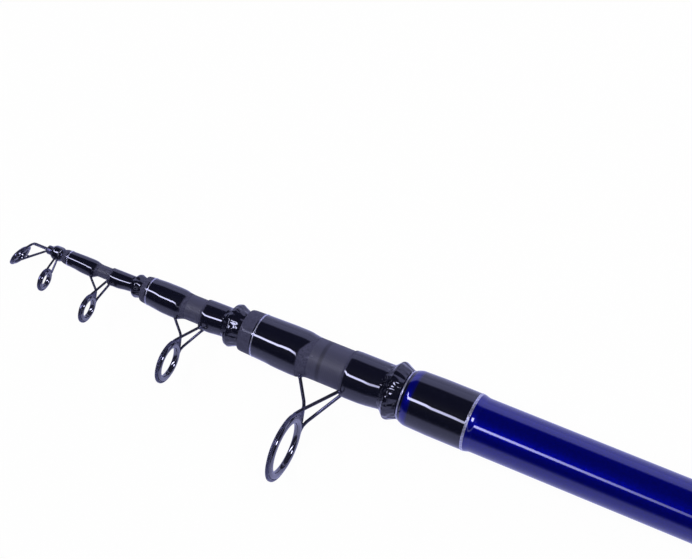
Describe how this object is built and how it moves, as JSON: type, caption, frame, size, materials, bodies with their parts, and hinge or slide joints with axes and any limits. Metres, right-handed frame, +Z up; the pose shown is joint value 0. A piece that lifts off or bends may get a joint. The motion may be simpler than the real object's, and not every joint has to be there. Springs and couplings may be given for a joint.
{
  "type": "surf fishing rod",
  "caption": "Telescopic surf rod of nested tapered tubes, closed, with stand-off line guides, a sliding guide, a tip guide, reel seat, foam grips and a screw-off butt cap.",
  "frame": {"origin": "centre of the butt bumper's flat end face, on the rod's axis", "axes": "+X along the rod's axis, out of its butt end, so the tip points to -X; the line guides hang to -Y; +Z is up, with the rod lying on its side"},
  "size_m": [1.1191, 0.0794, 0.035],
  "materials": {
    "blue_blank": "clear gloss lacquer over deep translucent blue",
    "carbon_blank": "bare graphite, matte, with fine tape lines",
    "black_wrap": "black thread under thick glossy epoxy",
    "silver_thread": "silver metallic thread under epoxy",
    "guide_frame": "dark gunmetal plating, glossy",
    "guide_ring": "polished black ceramic",
    "grip_foam": "fine closed-cell foam, matte black",
    "seat_nylon": "moulded, satin black",
    "seat_metal": "dark grey anodised, satin",
    "cap_rubber": "matte black",
    "cushion_foam": "closed-cell foam, matte grey"
  },
  "bodies": {
    "butt_section": {"butt_blank": "blue_blank", "butt_front_wrap": "black_wrap", "butt_lip_trim": "silver_thread", "butt_wrap_trim": "silver_thread", "fore_grip": "grip_foam", "fore_grip_ring": "seat_metal", "reel_seat": "seat_nylon", "reel_seat_rear_bushing": "grip_foam", "reel_seat_front_bushing": "grip_foam", "reel_seat_ring": "seat_metal", "rear_grip": "grip_foam", "rear_grip_ring": "seat_metal", "butt_bush": "seat_metal"},
    "section_2": {"section_2_blank": "carbon_blank", "section_2_collar": "black_wrap", "section_2_rear_wrap": "black_wrap", "section_2_front_wrap": "black_wrap", "section_2_trim": "silver_thread", "section_2_guide_frame": "guide_frame", "section_2_guide_ring": "guide_ring"},
    "section_3": {"section_3_blank": "carbon_blank", "section_3_collar": "black_wrap", "section_3_rear_wrap": "black_wrap", "section_3_front_wrap": "black_wrap", "section_3_trim": "silver_thread", "section_3_guide_frame": "guide_frame", "section_3_guide_ring": "guide_ring"},
    "section_4": {"section_4_blank": "carbon_blank", "section_4_collar": "black_wrap", "section_4_rear_wrap": "black_wrap", "section_4_front_wrap": "black_wrap", "section_4_trim": "silver_thread", "section_4_guide_frame": "guide_frame", "section_4_guide_ring": "guide_ring"},
    "tip_section": {"tip_blank": "carbon_blank", "tip_top_frame": "guide_frame", "tip_top_ring": "guide_ring"},
    "floating_guide": {"floating_guide_frame": "guide_frame", "floating_guide_ring": "guide_ring", "floating_guide_winding": "black_wrap"},
    "sliding_hood": {"sliding_hood": "seat_metal"},
    "lock_nut": {"lock_nut": "seat_metal"},
    "butt_cushion": {"butt_cushion": "cushion_foam"},
    "butt_cap": {"butt_cap": "seat_nylon", "butt_bumper": "cap_rubber"}
  },
  "joints": [
    {"name": "section_2_slide", "type": "slide", "parent": "butt_section", "child": "section_2", "axis": [-1, 0, 0], "range_m": [0, 0.716]},
    {"name": "section_3_slide", "type": "slide", "parent": "section_2", "child": "section_3", "axis": [-1, 0, 0], "range_m": [0, 0.759]},
    {"name": "section_4_slide", "type": "slide", "parent": "section_3", "child": "section_4", "axis": [-1, 0, 0], "range_m": [0, 0.7834]},
    {"name": "tip_slide", "type": "slide", "parent": "section_4", "child": "tip_section", "axis": [-1, 0, 0], "range_m": [0, 0.8179]},
    {"name": "floating_guide_slide", "type": "slide", "parent": "section_4", "child": "floating_guide", "axis": [-1, 0, 0], "range_m": [0, 0.409]},
    {"name": "hood_slide", "type": "slide", "parent": "butt_section", "child": "sliding_hood", "axis": [-1, 0, 0], "range_m": [0, 0.024]},
    {"name": "lock_nut_spin", "type": "hinge", "parent": "sliding_hood", "child": "lock_nut", "pos_m": [-0.5277, 0, 0], "axis": [-1, 0, 0], "range_deg": [0, 4320]},
    {"name": "butt_cushion_slide", "type": "slide", "parent": "butt_section", "child": "butt_cushion", "axis": [1, 0, 0], "range_m": [0, 0.024]},
    {"name": "butt_cap_spin", "type": "hinge", "parent": "butt_cushion", "child": "butt_cap", "pos_m": [0, 0, 0], "axis": [1, 0, 0], "range_deg": [0, 4320]}
  ],
  "couplings": [
    {"joint": "floating_guide_slide", "follows": "tip_slide", "ratio": 0.5},
    {"joint": "hood_slide", "follows": "lock_nut_spin", "m_per_rad": 0.00031831},
    {"joint": "butt_cushion_slide", "follows": "butt_cap_spin", "m_per_rad": 0.00031831}
  ]
}
